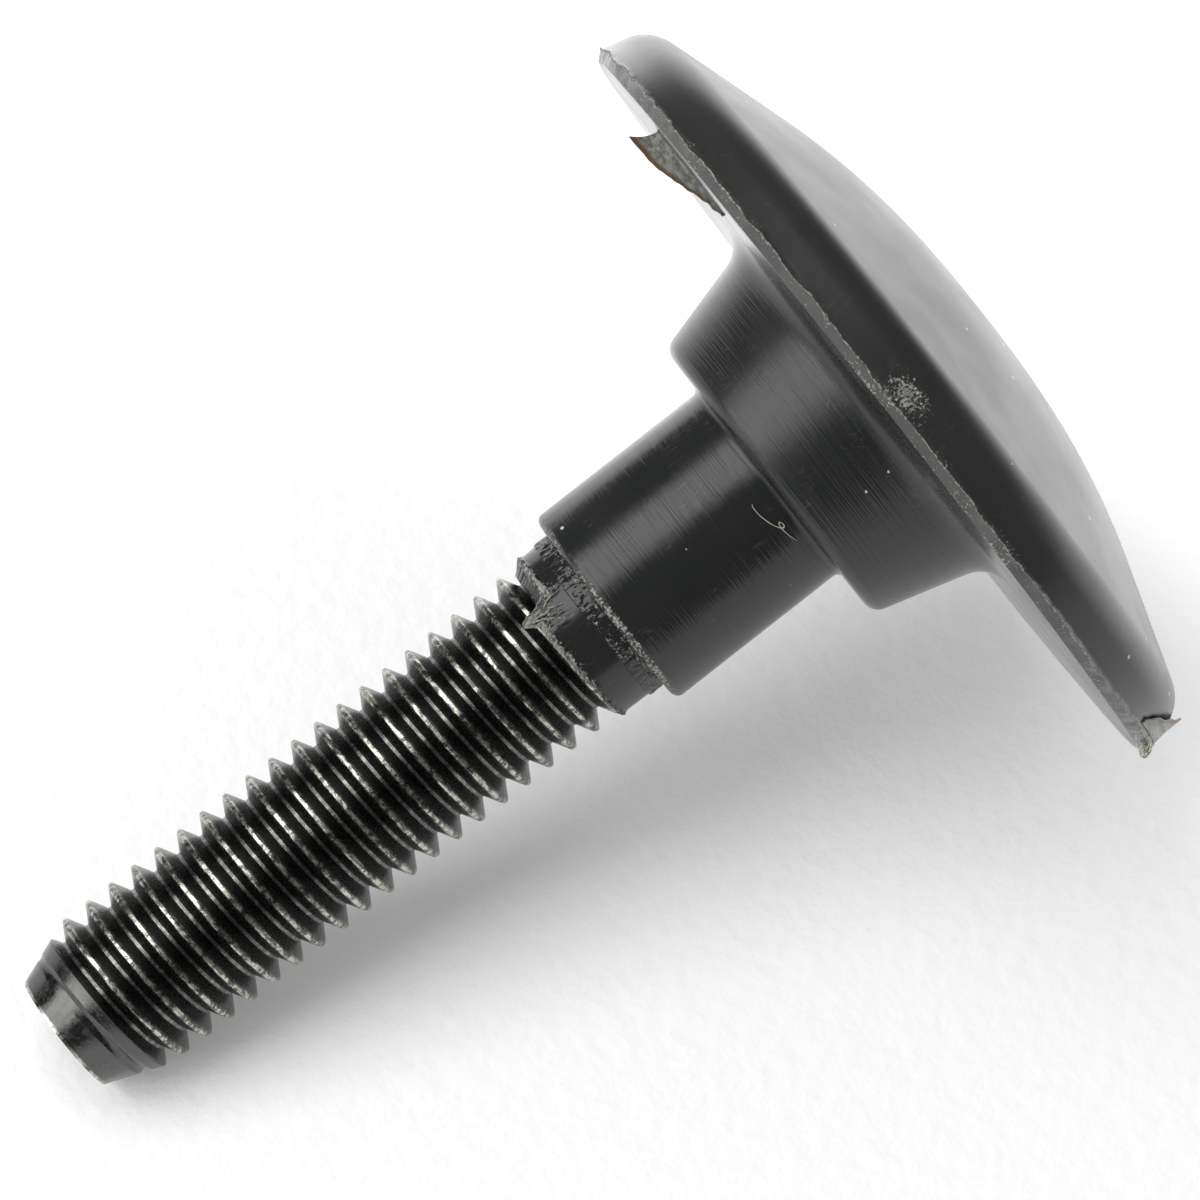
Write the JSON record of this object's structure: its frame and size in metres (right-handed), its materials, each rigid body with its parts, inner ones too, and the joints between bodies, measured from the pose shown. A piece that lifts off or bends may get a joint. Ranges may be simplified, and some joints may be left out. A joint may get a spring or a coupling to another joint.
{
  "type": "leveling leg",
  "caption": "Leveling leg: threaded metal stud moulded into a round domed plastic foot with a tapered hub and a plain neck.",
  "frame": {"origin": "centre of the flat spot of the domed sole, which the leg stands on", "axes": "+Z along the stud, from the sole to the tip; the leg is round, so X and Y are free"},
  "size_m": [0.0381, 0.038, 0.0501],
  "materials": {
    "stud_steel": "blackened steel, oiled, crests rubbed bright",
    "foot_plastic": "black moulded plastic, satin gloss"
  },
  "bodies": {
    "root": {"threaded_stud": "stud_steel", "moulded_foot": "foot_plastic"}
  },
  "joints": []
}
